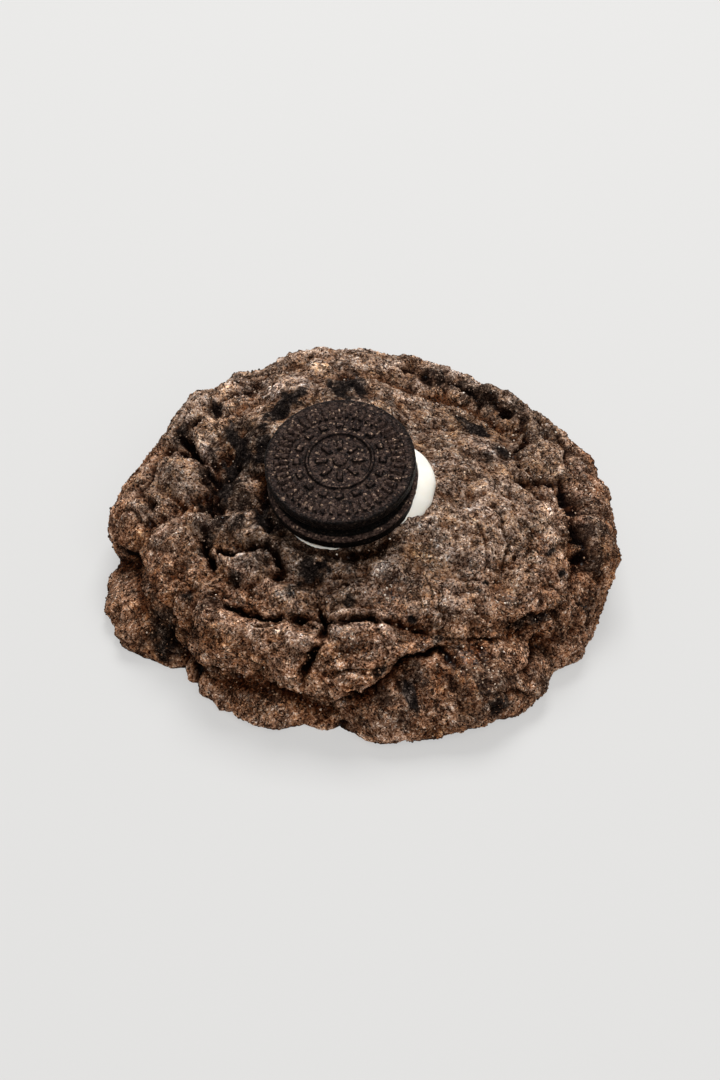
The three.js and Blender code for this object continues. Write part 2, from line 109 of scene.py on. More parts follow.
# Each crease: half its width and its depth, then the [bearing, share of the way from the crown
# down to the foot] that it runs through.
CREASES = {
    "along the front folds": (0.62, 3.2, [
        (-138, 0.684), (-134, 0.642), (-130, 0.617), (-124, 0.625), (-117, 0.615), (-113, 0.58),
        (-107, 0.556), (-101, 0.575), (-96, 0.575), (-90, 0.54), (-85, 0.57), (-75, 0.57), (-68, 0.67)]),
    "between the front folds": (0.6, 3.4, [
        (-108, 0.488), (-101, 0.578), (-101, 0.662), (-105, 0.768), (-106, 0.85)]),
    "round the heel": (0.6, 2.6, [
        (-142, 0.566), (-137, 0.558), (-132, 0.533), (-127, 0.488), (-126, 0.428), (-125, 0.408)]),
    "behind the heel": (0.65, 2.8, [
        (-157, 0.528), (-148, 0.489), (-144, 0.419), (-138, 0.375), (-129, 0.406), (-125, 0.418)]),
    "up the right fold": (0.7, 3, [
        (-96, 0.878), (-92, 0.862), (-88, 0.842), (-85, 0.812), (-82, 0.765), (-78, 0.735), (-73, 0.735),
        (-68, 0.71), (-66, 0.8)]),
    "right of the folds": (0.55, 2.2, [(-67, 0.67), (-59, 0.71), (-51, 0.77)]),
    "low on the right": (0.6, 2, [(-53, 0.845), (-46, 0.865), (-38, 0.87)]),
    "at the right foot": (0.6, 1.8, [(-61, 0.865), (-56, 0.89), (-50, 0.93)]),
    "under the right slope": (0.9, 3.2, [(-45, 0.78), (-42, 0.73), (-35, 0.78)]),
    "inside the right rim": (0.8, 3.4, [
        (-1, 0.46), (4, 0.496), (8, 0.566), (7, 0.615), (4, 0.645), (0, 0.668), (-8, 0.68), (-11, 0.72),
        (-15, 0.755), (-20, 0.79)]),
    "back of the right rim": (0.55, 2, [
        (31, 0.6), (26, 0.66), (22, 0.7), (12, 0.66), (8, 0.682), (3, 0.697)]),
    "over the right shoulder": (0.6, 2.3, [(29, 0.58), (24, 0.523), (16, 0.44), (12, 0.393)]),
    "behind the plateau": (0.8, 3, [
        (80, 0.47), (69, 0.492), (59, 0.553), (53, 0.55), (46, 0.545), (39, 0.578), (34, 0.578),
        (29, 0.585)]),
    "notch in the back rim": (0.8, 2.2, [(84, 0.62), (83, 0.555), (80, 0.49)]),
    "over the knob": (0.8, 2.2, [
        (-178, 0.68), (170, 0.69), (163, 0.7), (157, 0.69), (158, 0.6), (161, 0.54)]),
    "inside the knob": (0.9, 2, [(162, 0.5), (170, 0.46), (-178, 0.45), (-168, 0.46)]),
    "outside the knob": (0.7, 1.5, [(-178, 0.68), (-174, 0.71), (-166, 0.73)]),
    "inside the left roll": (0.6, 2.4, [(-139, 0.56), (-136, 0.6), (-134, 0.642)]),
    "left hollow": (0.65, 2.8, [
        (153, 0.64), (156, 0.565), (163, 0.518), (165, 0.493), (173, 0.488), (-178, 0.481), (-165, 0.486),
        (-158, 0.545), (-151, 0.55), (-142, 0.566)]),
    "back left": (0.55, 2, [
        (125, 0.565), (130, 0.545), (140, 0.565), (146, 0.582), (152, 0.6), (154, 0.62)]),
    "in the back left rim": (0.7, 1.5, [(114, 0.53), (111, 0.5), (110, 0.47)]),
    "on the plateau's front": (0.6, 1.2, [(-52, 0.52), (-50, 0.575)]),
    "under the lip": (1.1, 4.2, [
        (-178, 0.82), (-173, 0.83), (-165, 0.8), (-157, 0.78), (-150, 0.81), (-144, 0.84), (-137, 0.865)]),
    "under the front lip": (0.75, 2.4, [
        (-145, 0.85), (-136, 0.87), (-128, 0.875), (-119, 0.875), (-111, 0.885), (-104, 0.89), (-97, 0.88),
        (-92, 0.862)]),
    "under the left fold": (0.6, 1.2, [(-122, 0.84), (-116, 0.86), (-107, 0.83)]),
    "beside the biscuit": (1.2, 3, [(160, 0.29), (170, 0.285), (-173, 0.29), (-156, 0.32), (-141, 0.345)]),
    "across the hollow": (0.7, 2, [(157, 0.37), (162, 0.42), (170, 0.455)]),
    "between the base lumps": (0.9, 2.2, [(-140, 0.92), (-137, 0.96), (-136, 1)]),
}
# Where the dough above a crease hangs over what lies below it, and by how much.
OVERHANGS = {
    "under the lip": 1.5, "under the front lip": 0.7, "under the left fold": 0.5,
    "under the right slope": 1.4, "low on the right": 1.2, "at the right foot": 0.8,
    "right of the folds": 0.6,
}
CREASE_STEPS = 4

# Dark chunks baked into the surface: bearing, share, half length, half width, turn in degrees.
CHUNKS = [
    (98, 0.345, 4.3, 3.7, 90), (127, 0.352, 3, 2.6, 84), (133, 0.362, 4.6, 1.8, 18),
    (152, 0.336, 2.4, 1.7, -48), (151, 0.436, 5, 1.5, -46), (161, 0.436, 5, 1, -51),
    (157, 0.322, 2.4, 1.4, -50), (173, 0.436, 3.6, 1.7, -15), (-161, 0.318, 6.4, 1, 24),
    (-112, 0.391, 2.9, 2.4, -9), (39, 0.442, 4.5, 2, -19), (20, 0.455, 1.9, 1, -53),
    (-21, 0.636, 1.7, 0.8, 23), (-25, 0.709, 2, 0.8, 19), (-79, 0.855, 2.1, 1.2, 85),
    (-46, 0.545, 0.8, 0.6, 23), (-74, 0.564, 1.3, 1, 6),
]
# Pits: bearing, share, radius, depth.
PITS = [(142, 0.56, 1.5, 2.2), (-136, 0.955, 1.8, 2.2), (-95, 0.985, 1.6, 1.8), (-167, 0.335, 2.6, 1.6)]
# Darkened areas, partly dark chocolate melted into the dough and partly painted shade in hollows,
# under overhangs and round the biscuit: bearing, share and radius, by strength.
DARK = {
    1: [(155, 0.391, 5), (-157, 0.4, 2.9), (168, 0.45, 4), (-165, 0.45, 3), (152, 0.627, 2.1),
        (-162, 0.518, 2), (-156, 0.555, 1.4), (-137, 0.536, 1.8), (-145, 0.709, 2), (-149, 0.9, 3.1),
        (-138, 0.391, 1.5), (-40, 0.791, 2.3), (-68, 0.664, 1.5), (-86, 0.764, 1.8), (-95, 0.482, 2.2),
        (-112, 0.4, 3.6), (-116, 0.49, 1.8), (-60, 0.9, 3), (-44, 0.77, 2.2), (167, 0.482, 2.2),
        (178, 0.491, 2.6), (-159, 0.518, 2), (141, 0.562, 1.8), (156, 0.58, 1.6), (169, 0.415, 4),
        (162, 0.43, 3.2), (-143, 0.315, 2.6), (-147, 0.94, 3.2)],
    0.95: [(-46, 0.765, 1.7), (-43, 0.785, 1.6), (-37, 0.793, 1.4), (67, 0.522, 1.6), (63.5, 0.534, 1.7),
        (60.5, 0.56, 1.7), (58, 0.582, 1.7), (55, 0.575, 1.7)],
    0.9: [(21, 0.445, 2.4), (-106, 0.345, 2.2), (-96, 0.336, 2.4), (59, 0.555, 2.2), (52, 0.56, 2.4),
        (46, 0.565, 3), (40, 0.59, 3), (-172, 0.3, 3.6), (-158, 0.33, 3), (159, 0.49, 2.2),
        (175, 0.42, 3.6), (-179, 0.455, 3.6), (146, 0.464, 2.6), (-150, 0.86, 2.6), (-80, 0.83, 2.4),
        (-76, 0.79, 2.2)],
    0.85: [(-8, 0.73, 3.4), (-15, 0.773, 3.4), (-11, 0.74, 3)],
    0.8: [(-179, 0.373, 5), (11, 0.382, 1.8), (-62, 0.827, 3), (-57, 0.855, 2.6), (-83, 0.309, 2.2),
        (66, 0.52, 1.8), (34, 0.585, 2.4), (-134, 0.455, 3), (-137, 0.66, 3), (-85, 0.86, 2.2),
        (-34, 0.805, 1.3), (-63, 0.74, 1.5)],
    0.7: [(-68, 0.855, 2.4), (-134, 0.391, 2.4), (-120, 0.373, 2.4), (-58, 0.83, 3.4), (-82, 0.875, 3.4),
        (-143, 0.4, 2.4)],
    0.6: [(-117, 0.818, 1.8), (0, 0.709, 3.4), (-47, 0.918, 2.6), (-80, 0.727, 2), (-95, 0.409, 2.4),
        (44, 0.6, 2.4), (-67, 0.9, 3.2), (42, 0.6, 4.2), (-163, 0.49, 2.6)],
    0.55: [(50, 0.58, 3.2), (34, 0.61, 4.2)],
    0.5: [(-158, 0.418, 3.5), (-153, 0.382, 3), (10, 0.72, 3), (20, 0.73, 3), (-161, 0.636, 2.2),
        (-164, 0.655, 2.6), (-126, 0.41, 2.8), (-7, 0.8, 3.2), (3, 0.8, 3.4), (-88, 0.91, 3),
        (28, 0.62, 3.6), (-137, 0.7, 2), (-118, 0.53, 2.2)],
    0.45: [(-106, 0.675, 2.4)],
    0.4: [(-19, 0.873, 3), (172, 0.6, 3.5), (-178, 0.69, 3)],
    0.35: [(25, 0.455, 2.8), (14, 0.49, 2.6)],
    0.25: [(-45, 0.8, 9), (-150, 0.93, 7)],
    0.22: [(-35, 0.66, 8), (-28, 0.85, 8)],
}
# Paler areas, partly painted light that lifts the shade on slopes, in the same terms.
DRY = {
    1: [(131, 0.49, 4.4), (58, 0.49, 3.8), (-118, 0.84, 3.6)],
    0.9: [(-46, 0.825, 3.2), (-39, 0.86, 3.2), (53, 0.505, 2.8)],
    0.8: [(-18, 0.6, 3.2), (-20, 0.69, 2.4), (144, 0.51, 3)],
    0.7: [(-31, 0.56, 3.6)],
    0.6: [(-6, 0.55, 3.6), (-24, 0.44, 4), (-76, 0.49, 3.4), (-70, 0.57, 2.8), (1, 0.6, 3)],
    0.5: [(-88, 0.63, 3.6), (70, 0.33, 3)],
}
# Where coarse sugar clings: bearing, share, radius.
SUGAR = [
    (-80, 0.445, 2.4), (-55, 0.59, 2.2), (-46, 0.627, 2.6), (-17, 0.59, 1.8), (-117, 0.52, 2.2),
    (20, 0.473, 1.3), (-95, 0.636, 2.8), (-62, 0.8, 2.6),
]

# A smooth cushion lies inside the dough. Its top is a rounded square, its side an upright wall.
GIRTH, CROWN, WAIST = 0.94 * COOKIE_RADIUS, 0.95 * COOKIE_HEIGHT, 0.3 * COOKIE_HEIGHT
ROUND_POWER = 0.8
ROOT = 0.24 * COOKIE_RADIUS
turns = np.linspace(0, pi / 2, 700)
outline_radius = np.append(GIRTH * np.sin(turns) ** ROUND_POWER, GIRTH)
outline_height = np.append(WAIST + (CROWN - WAIST) * np.cos(turns) ** ROUND_POWER, 0)
outline_length = np.concatenate([[0], np.cumsum(np.hypot(np.diff(outline_radius),
                                                         np.diff(outline_height)))])


def cushion(bearings, shares):
    """Places on the cushion and the directions straight out of it."""
    reach = 1.5
    along = shares * outline_length[-1]
    radius = np.interp(along, outline_length, outline_radius)
    height = np.interp(along, outline_length, outline_height)
    before, after = np.maximum(along - reach, 0), along + reach
    out, up = (np.interp(after, outline_length, line) - np.interp(before, outline_length, line)
               for line in (outline_radius, outline_height))
    up = np.where(shares > 0, up, 0)
    size = np.hypot(out, up)
    c, s = np.cos(bearings), np.sin(bearings)
    return (np.stack([radius * c, radius * s, height], -1),
            np.stack([-up / size * c, -up / size * s, out / size], -1))


def spot(bearing, share):
    """One place on the cushion."""
    return cushion(np.array([radians(bearing)]), np.array([float(share)]))[0][0]


def distance_to(bearing, share, points):
    return np.linalg.norm(points - spot(bearing, share), axis=-1)


def scatter(x, y, z, seed):
    """A value from -1 to 1 for each point of a grid of whole numbers."""
    h = (x * 374761393 + y * 668265263 + z * 2147483647 + seed * 974634777) & 0xFFFFFFFF
    h = h.astype(np.uint64)
    h = ((h ^ (h >> np.uint64(13))) * np.uint64(1274126177)) & np.uint64(0xFFFFFFFF)
    h = ((h ^ (h >> np.uint64(16))) * np.uint64(2246822519)) & np.uint64(0xFFFFFFFF)
    h = h ^ (h >> np.uint64(13))
    return h.astype(np.float64) / 2147483647.5 - 1.0


def unevenness(points, size, seed):
    """Smooth unevenness from -1 to 1, whose bumps are about `size` across."""
    q = points / size
    base = np.floor(q).astype(np.int64)
    f = q - base
    f = f * f * f * (f * (f * 6 - 15) + 10)
    total = 0
    for corner in itertools.product((0, 1), repeat=3):
        weight = np.prod(np.where(corner, f, 1 - f), -1)
        total = total + weight * scatter(*(base + corner).T, seed)
    return total


def wander(points, size, seed, reach):
    return np.stack([unevenness(points, size, seed + i) for i in range(3)], -1) * reach


def crumbs(points, size, seed):
    """Distance to the nearest of scattered middles about `size` apart, how much further the next
    one is, and the nearest one's own value."""
    q = points / size
    base = np.floor(q).astype(np.int64)
    nearest, second, value = np.full(len(q), 9.0), np.full(len(q), 9.0), np.zeros(len(q))
    for step in itertools.product((-1, 0, 1), repeat=3):
        cell = base + step
        middle = np.stack([scatter(*cell.T, seed + i) for i in range(3)], -1) * 0.42 + 0.5
        distance = np.linalg.norm(q - cell - middle, axis=-1)
        value = np.where(distance < nearest, scatter(*cell.T, seed + 3), value)
        second = np.minimum(second, np.maximum(distance, nearest))
        nearest = np.minimum(distance, nearest)
    return nearest, second - nearest, value


def lumps_reach(points, along):
    """How far out the lumps reach from points inside them, melted together at their seams."""
    reaches = []
    for bearing, out, up, long, deep, tall, *turn in LUMPS.values():
        at = radians(bearing)
        middle = np.array([cos(at) * out * COOKIE_RADIUS, sin(at) * out * COOKIE_RADIUS,
                           up * COOKIE_HEIGHT])
        half = np.array([deep * COOKIE_RADIUS, long * COOKIE_RADIUS, tall * COOKIE_HEIGHT])
        turn = radians(turn[0]) if turn else at
        turned = np.array([[cos(turn), -sin(turn), 0], [sin(turn), cos(turn), 0], [0, 0, 1]])
        p, v = (points - middle) @ turned / half, along @ turned / half
        a, b, c = (v * v).sum(-1), (p * v).sum(-1), (p * p).sum(-1) - 1
        inside = b * b - a * c
        far = (-b + np.sqrt(np.maximum(inside, 0))) / a
        reaches.append(np.where(inside > 0, np.maximum(far, 0), 0))
    reaches = np.stack(reaches)
    most = reaches.max(0)
    return most + np.log(np.exp((reaches - most) * SEAM_SHARPNESS).sum(0)) / SEAM_SHARPNESS


def distance_to_crease(points, downhill, through, reach):
    """For the points within reach of a crease: how far off its line they lie, how far below it,
    and how far along it from its nearer end."""
    line = []
    for (b0, s0), (b1, s1) in zip(through, through[1:]):
        turn = (b1 - b0 + 180) % 360 - 180
        line += [(b0 + turn * k / CREASE_STEPS, s0 + (s1 - s0) * k / CREASE_STEPS)
                 for k in range(CREASE_STEPS)]
    line = np.array([spot(*place) for place in line + [through[-1]]])
    near = np.where(((points > line.min(0) - reach) & (points < line.max(0) + reach)).all(-1))[0]
    p = points[near]
    best, below, along = np.full(len(near), 1e9), np.zeros(len(near)), np.zeros(len(near))
    lengths = np.linalg.norm(np.diff(line, axis=0), axis=-1)
    start = 0
    for a, b, length in zip(line, line[1:], lengths):
        t = np.clip((p - a) @ (b - a) / length ** 2, 0, 1)
        offset = p - a - t[:, None] * (b - a)
        distance = np.linalg.norm(offset, axis=-1)
        below = np.where(distance < best, np.einsum("ij,ij->i", offset, downhill[near]), below)
        along = np.where(distance < best, start + t * length, along)
        best = np.minimum(best, distance)
        start += length
    return near, best, below, np.minimum(along, start - along)


def rings_on_cushion(step):
    """Bearings and shares of a net of points about `step` apart, and each ring's count."""
    number = round(outline_length[-1] / step)
    bearings, shares, counts = [np.zeros(1)], [np.zeros(1)], [1]
    for k in range(1, number + 1):
        girth = 2 * pi * np.interp(k / number * outline_length[-1], outline_length, outline_radius)
        count = max(6, round(girth / step))
        bearings.append(np.arange(count) / count * 2 * pi)
        shares.append(np.full(count, k / number))
        counts.append(count)
    return np.concatenate(bearings), np.concatenate(shares), counts


def stitch(counts):
    """Triangles between each ring of points and the next, from a ring of one to a ring of one."""
    triangles, start = [], 0
    for n, m in zip(counts, counts[1:]):
        i, j = (1 if n == 1 else 0), (1 if m == 1 else 0)
        while i < n or j < m:
            a, b = start + i % n, start + n + j % m
            if j < m and (i >= n or (j + 0.5) / m <= (i + 0.5) / n):
                j += 1
                triangles.append((a, b, start + n + j % m))
            else:
                i += 1
                triangles.append((a, b, start + i % n))
        start += n
    return triangles


def smoothed(values, triangles, rounds):
    """Values averaged with their neighbours', some rounds over."""
    ends = np.concatenate([triangles[:, [0, 1]], triangles[:, [1, 2]], triangles[:, [2, 0]]])
    ends = np.concatenate([ends, ends[:, ::-1]])
    number = np.bincount(ends[:, 0], minlength=len(values))
    for _ in range(rounds):
        columns = [np.bincount(ends[:, 0], weights=values[ends[:, 1], k], minlength=len(values))
                   for k in range(values.shape[1])]
        values = np.stack(columns, -1) / number[:, None]
    return values


def smooth_step(low, high, x):
    t = np.clip((x - low) / (high - low), 0, 1)
    return t * t * (3 - 2 * t)


def bell(x, width):
    return np.exp(-(x / width) ** 2)


DOUGH_STEP = 0.37
RIDGES, BUMPS, DIMPLES, WRINKLES, ROUGHNESS = 0.45, 0.22, 0.22, 0.5, 0.1  # heights of the relief
CLOD_SIZE, CLOD_HEIGHT, CLOD_GAP = 2.6, 0.1, 0.3
GRAIN_SIZE, GRAIN_HEIGHT, GRAIN_GAP = 0.95, 0.12, 0.22
HAIRLINE_DEPTH, HAIRLINE_WIDTH = 0.9, 0.07
HOLE_SPACING, HOLE_DEPTH, HOLE_RADIUS = 2.4, 1.2, 0.2
TUCK_HEIGHT = 2.5  # how far up the foot draws in
bearings, shares, counts = rings_on_cushion(DOUGH_STEP)
place, normal = cushion(bearings, shares)
broad = wander(place, 11, 11, 1.6)
shifted = broad + wander(place, 4, 21, 0.8)
root = place - normal * ROOT
reach = lumps_reach(root + shifted, normal)

# Relief: broad ridges and bumps, calmer on the plateau, then crumbs with gaps between them,
# wrinkles, cracks, pits and the creases.
calm = 0.55 + 0.45 * np.clip((shares - 0.3) / 0.2, 0, 1)
crumbly = 0.25 + 0.75 * smooth_step(0.42, 0.62, shares + 0.08 * unevenness(place, 7, 51))
fine_too = 0.35 + 0.65 * crumbly
relief = RIDGES * calm * (0.55 - 1.6 * np.abs(unevenness(place + shifted, 8, 31)))
relief += BUMPS * unevenness(place + broad, 4, 32)
relief += (DIMPLES + 0.18 * crumbly) * (0.5 - 1.6 * np.abs(unevenness(place + shifted, 2.6, 33)))
_, clod_gap, clod_value = crumbs(place + shifted * 0.5, CLOD_SIZE, 61)
_, grain_gap, grain_value = crumbs(place + wander(place, 1.2, 75, 0.3), GRAIN_SIZE, 71)
relief += crumbly * (CLOD_HEIGHT * clod_value - CLOD_GAP * bell(clod_gap, 0.1))
relief += (0.4 + 0.6 * crumbly) * (GRAIN_HEIGHT * grain_value - GRAIN_GAP * bell(grain_gap, 0.22))
stretched = place * np.array([0.3, 1.0, 1.0])
relief += (1 - crumbly) * WRINKLES * (0.4 - 1.5 * np.abs(unevenness(stretched + 0.15 * shifted, 1.5, 81)))
relief += ROUGHNESS * unevenness(place, 0.75, 35)
hairline = np.abs(unevenness(place + shifted, 6.5, 91))
hair_depth = smooth_step(-0.1, 0.4, unevenness(place, 9, 95)) * fine_too * bell(hairline, HAIRLINE_WIDTH)
relief -= HAIRLINE_DEPTH * hair_depth
from_hole, _, hole_value = crumbs(place, HOLE_SPACING, 101)
relief -= np.where(hole_value > 0.3, HOLE_DEPTH, 0) * fine_too * bell(from_hole, HOLE_RADIUS)

cut, sink, hang, gloom = (np.zeros(len(place)) for _ in range(4))
level = np.stack([-np.sin(bearings), np.cos(bearings), 0 * bearings], -1)
downhill = np.cross(level, normal)
crossing = place + wander(place, 5, 41, 1.1) + wander(place, 1.8, 45, 0.5) + wander(place, 0.9, 55, 0.2)
ragged = 1 + 0.6 * unevenness(place, 1.7, 48)
deepness = 0.85 + 0.35 * unevenness(place, 3.1, 49)
for name, (width, depth, through) in CREASES.items():
    near, distance, below, from_end = distance_to_crease(crossing, downhill, through, 8 * width)
    taper = smooth_step(-1.5, 3.5, from_end)
    w = width * ragged[near] * (0.5 + 0.5 * taper)
    deep = depth * taper * deepness[near]
    cut[near] = np.maximum(cut[near], deep * bell(distance, w))
    sink[near] = np.maximum(sink[near], 0.28 * deep * bell(distance, 3.4 * width))
    # painted shade that spreads round each crease, darker round deeper ones
    shade = min(1, depth / 3.2) * taper * bell(distance, 2.5 * width)
    gloom[near] = np.maximum(gloom[near], shade)
    if name in OVERHANGS:
        side = np.clip(below / width, -1, 1)
        fade = OVERHANGS[name] * taper * bell(distance, 3 * width)
        relief[near] -= 0.5 * side * fade
        hang[near] = np.maximum(hang[near], np.where(side < 0.3, 0.8 * fade, 0))
for bearing, share, radius, depth in PITS:
    cut = np.maximum(cut, depth * bell(distance_to(bearing, share, crossing), radius))

dough_points = root + normal * (reach + relief - cut - sink)[:, None] + downhill * hang[:, None]
tuck = np.clip(1 - dough_points[:, 2] / TUCK_HEIGHT, 0, 1) ** 2
dough_points -= normal * tuck[:, None]

# The biscuit and the cream press their seat into the dough, which dips in front of the biscuit.
# Along the front and the left the biscuit's shadow is painted dark onto the dough.
SEAT_GAP, DIP = 0.15, 1.4
biscuit_turn = np.array(BISCUIT_TURN.to_matrix())
under = (dough_points - np.array(BISCUIT_PLACE)) @ biscuit_turn
from_lower = under - LOWER_WAFER_SLIP
lower_radius = np.hypot(from_lower[:, 0], from_lower[:, 1])
in_seat = np.minimum(np.hypot(under[:, 0], under[:, 1]), lower_radius) < BISCUIT_RADIUS + SEAT_GAP
in_seat &= under[:, 2] > BISCUIT_BOTTOM - SEAT_GAP
under[in_seat, 2] = BISCUIT_BOTTOM - SEAT_GAP
edge_bearing = np.degrees(np.arctan2(from_lower[:, 1], from_lower[:, 0]))
in_front = smooth_step(-165, -140, edge_bearing) * smooth_step(-45, -70, edge_bearing)
in_front *= 1 - bell(edge_bearing + 136, 9)
off_edge = lower_radius - BISCUIT_RADIUS - 0.3
edge = bell(off_edge, 1.2)
under[:, 2] -= DIP * in_front * edge * (under[:, 2] < BISCUIT_BOTTOM + 2)
in_shade = np.where(edge_bearing > 0, smooth_step(140, 165, edge_bearing),
                    smooth_step(-35, -65, edge_bearing))
contact = in_shade * bell(off_edge, 1.7)
dough_points = under @ biscuit_turn.T + np.array(BISCUIT_PLACE)

# The flat underside closes it.
foot = dough_points[-counts[-1]:]
bottom = []
for share in (0.75, 0.5, 0.25):
    count = round(counts[-1] * share * 0.35)
    picked = np.round(np.arange(count) / count * counts[-1]).astype(int)
    bottom.append(foot[picked] * share)
    counts.append(count)
counts.append(1)
all_points = np.concatenate([dough_points] + bottom + [np.zeros((1, 3))])
triangles = np.array(stitch(counts))

# What its colours follow: how deep in a crack each place is, for its dark crumb and painted shade;
# how proud it stands of what is close by and of what lies some millimetres around, for painted
# highlights on crests and painted shade in hollows; how far down the side it is; and where chunks,
# melted chocolate with painted shade, paler areas with painted light, and coarse sugar lie.
surface = len(dough_points)
edges_only = triangles[(triangles < surface).all(1)]
near_by = smoothed(dough_points, edges_only, 14)
proud = np.einsum("ij,ij->i", dough_points - near_by, normal)
rise = np.einsum("ij,ij->i", dough_points - smoothed(near_by, edges_only, 90), normal)
chunk = np.zeros(surface)
frayed = 0.4 * unevenness(place, 2.2, 111) + 0.45 * unevenness(place, 0.9, 112)
for bearing, share, half_length, half_width, turn in CHUNKS:
    middle, out = cushion(np.array([radians(bearing)]), np.array([share]))
    across = np.array([-sin(radians(bearing)), cos(radians(bearing)), 0])
    offset = place - middle[0]
    a, b = offset @ across, offset @ np.cross(across, out[0])
    c, s = cos(radians(turn)), sin(radians(turn))
    span = np.hypot((a * c + b * s) / half_length, (b * c - a * s) / half_width)
    chunk = np.maximum(chunk, smooth_step(1.15, 0.8, span + frayed))
# the biscuit's painted shadow on the dough goes in with the darkened areas
dark, dry = 0.9 * contact, np.zeros(surface)
for areas, much in ((DARK, dark), (DRY, dry)):
    for strength, spots in areas.items():
        for bearing, share, radius in spots:
            away = distance_to(bearing, share, place) / radius + frayed
            np.maximum(much, strength * smooth_step(1.3, 0.4, away), out=much)
sugar = np.zeros(surface)
for bearing, share, radius in SUGAR:
    sugar = np.maximum(sugar, bell(distance_to(bearing, share, place), radius))


def give(mesh, name, values):
    """Gives a mesh's first points a value each, and 0 to the others."""
    full = np.zeros(len(mesh.vertices), dtype=np.float32)
    full[:len(values)] = values
    mesh.attributes.new(name, "FLOAT", "POINT").data.foreach_set("value", full)


def mesh_object(name, points, faces, **values):
    """An object at the origin from points in millimetres, with a value of each kind at each."""
    mesh = bpy.data.meshes.new(name)
    mesh.from_pydata((np.asarray(points) * MM).tolist(), [], [tuple(map(int, f)) for f in faces])
    mesh.shade_smooth()
    for key, value in values.items():
        give(mesh, key, value)
    mesh.update()
    made = bpy.data.objects.new(name, mesh)
    bpy.context.collection.objects.link(made)
    return made


dough = mesh_object("dough", all_points + np.array([SHIFT.x, SHIFT.y, 0]), triangles,
                    crack=np.clip(cut / 2.2 + 0.5 * hair_depth, 0, 1), proud=proud, rise=rise,
                    down=shares, low=1 - dough_points[:, 2] / COOKIE_HEIGHT, chunk=chunk, dark=dark,
                    dry=dry, gloom=gloom, sugar=sugar)


def set_inputs(made, inputs):
    """Sets a node's inputs, each to a plain value or from another node's output."""
    for key, value in inputs.items():
        if isinstance(value, bpy.types.NodeSocket):
            made.id_data.links.new(value, made.inputs[key])
        else:
            made.inputs[key].default_value = value


def node(tree, kind, inputs=None, **settings):
    made = tree.nodes.new(kind)
    for key, value in settings.items():
        setattr(made, key, value)
    set_inputs(made, inputs or {})
    return made


def ramp(tree, fac, stops):
    """A colour or grey ramp through (place, value) stops."""
    made = node(tree, "ShaderNodeValToRGB", {"Fac": fac})
    while len(made.color_ramp.elements) < len(stops):
        made.color_ramp.elements.new(0.5)
    for element, (at, value) in zip(made.color_ramp.elements, stops):
        element.position = at
        element.color = (*value, 1) if isinstance(value, tuple) else (value, value, value, 1)
    return made.outputs["Color"]


def mixed(tree, factor, a, b, blend="MIX"):
    inputs = {0: factor, 6: a, 7: b}
    inputs = {key: (*value, 1) if isinstance(value, tuple) else value for key, value in inputs.items()}
    return node(tree, "ShaderNodeMix", inputs, data_type="RGBA", blend_type=blend).outputs[2]


def tinted(tree, colour, *tints):
    """A colour multiplied by each tint."""
    for tint in tints:
        colour = mixed(tree, 1.0, colour, tint, "MULTIPLY")
    return colour


def maths(tree, operation, a, b=0.0, clamp=False):
    return node(tree, "ShaderNodeMath", {0: a, 1: b}, operation=operation, use_clamp=clamp).outputs[0]


def attribute(tree, name):
    return node(tree, "ShaderNodeAttribute", attribute_name=name).outputs["Fac"]


def ends(group, inputs, outputs):
    """A node group's input and output nodes, with named sockets of the kinds given."""
    for way, sockets in (("INPUT", inputs), ("OUTPUT", outputs)):
        for label, kind in sockets.items():
            group.interface.new_socket(label, in_out=way, socket_type="NodeSocket" + kind)
    return node(group, "NodeGroupInput"), node(group, "NodeGroupOutput")


def vector_maths(tree, operation, inputs):
    return node(tree, "ShaderNodeVectorMath", inputs, operation=operation).outputs[0]


def grain_group():
    """Baked crumb: grains of one size, each with its own tone, and the gaps between them."""
    group = bpy.data.node_groups.new("baked grain", "ShaderNodeTree")
    enter, leave = ends(group, {"Vector": "Vector", "Per metre": "Float"},
                        {"Tone": "Float", "Hue": "Float", "Height": "Float"})
    where = enter.outputs["Vector"]
    wobble = node(group, "ShaderNodeTexNoise", {"Vector": where, "Scale": 1800.0, "Detail": 2.0})
    bend = vector_maths(group, "SUBTRACT", {0: wobble.outputs["Color"], 1: (0.5, 0.5, 0.5)})
    bend = vector_maths(group, "SCALE", {0: bend, "Scale": 0.0005})
    bent = vector_maths(group, "ADD", {0: where, 1: bend})
    grains = node(group, "ShaderNodeTexVoronoi", {"Vector": bent, "Scale": enter.outputs["Per metre"]})
    tone = node(group, "ShaderNodeSeparateColor", {"Color": grains.outputs["Color"]})
    height = maths(group, "SUBTRACT", 1.0, grains.outputs["Distance"], clamp=True)
    set_inputs(leave, {"Tone": tone.outputs[0], "Hue": tone.outputs[1], "Height": height})
    return group


GRAIN = grain_group()


def grain(tree, where, per_metre):
    """The tone, hue and height of grains."""
    made = node(tree, "ShaderNodeGroup", {"Vector": where, "Per metre": per_metre}, node_tree=GRAIN)
    return made.outputs["Tone"], made.outputs["Hue"], made.outputs["Height"]


def new_material(name):
    made = bpy.data.materials.new(name)
    made.use_nodes = True
    tree = made.node_tree
    return made, tree, tree.nodes["Principled BSDF"], node(tree, "ShaderNodeTexCoord").outputs["Object"]


def weighed(tree, *parts):
    """The sum of values, each times its own weight."""
    total = 0.0
    for value, weight in parts:
        total = node(tree, "ShaderNodeMath", {0: value, 1: weight, 2: total},
                     operation="MULTIPLY_ADD").outputs[0]
    return total


def noise(tree, where, scale, detail=4.0, roughness=0.6, curl=0.0):
    return node(tree, "ShaderNodeTexNoise", {"Vector": where, "Scale": scale, "Detail": detail,
                                             "Roughness": roughness, "Distortion": curl}).outputs["Fac"]


def bumped(tree, height, strength, distance):
    bump = node(tree, "ShaderNodeBump", {"Height": height, "Strength": strength, "Distance": distance})
    return bump.outputs[0]


